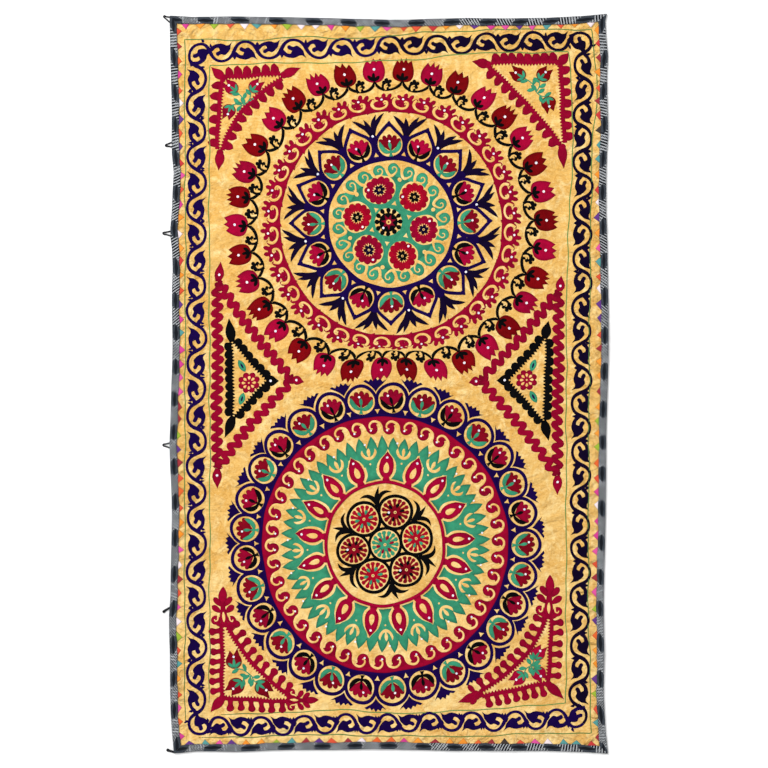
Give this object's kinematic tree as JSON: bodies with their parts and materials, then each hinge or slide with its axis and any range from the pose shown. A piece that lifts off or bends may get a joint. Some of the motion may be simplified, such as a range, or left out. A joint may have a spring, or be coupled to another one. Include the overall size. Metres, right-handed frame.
{
  "type": "suzani embroidered textile",
  "caption": "Large embroidered hanging with two round floral medallions, a vine border, a patterned tape binding and hanging loops along one side.",
  "frame": {"origin": "middle of the overall box, hanging loops included, on the surface that the cloth lies on", "axes": "+Z out of the embroidered face, +Y along the length towards the upper medallion, +X across the width, away from the edge with the hanging loops"},
  "size_m": [1.3824, 2.293, 0.0069],
  "materials": {
    "ground": "golden yellow slubbed cotton satin",
    "binding": "slate grey woven tape with a lattice and lozenge pattern",
    "points": "folded scraps of plain cotton in many colours",
    "loop": "black folded cotton tape",
    "crimson_thread": "crimson embroidery thread, couched and chain stitched",
    "red_thread": "dark red embroidery thread",
    "magenta_thread": "magenta embroidery thread",
    "violet_thread": "violet navy embroidery thread",
    "black_thread": "black embroidery thread",
    "teal_thread": "teal green embroidery thread",
    "yellow_thread": "golden yellow embroidery thread",
    "green_thread": "leaf green chain stitch lines",
    "sequins": "small pearly white sequins"
  },
  "bodies": {
    "root": {"ground_cloth": "ground", "binding_left": "binding", "binding_right": "binding", "binding_bottom": "binding", "binding_top": "binding", "points_left": "points", "points_right": "points", "points_bottom": "points", "points_top": "points", "loop_1": "loop", "loop_2": "loop", "loop_3": "loop", "loop_4": "loop", "loop_5": "loop", "loop_6": "loop"}
  },
  "joints": []
}
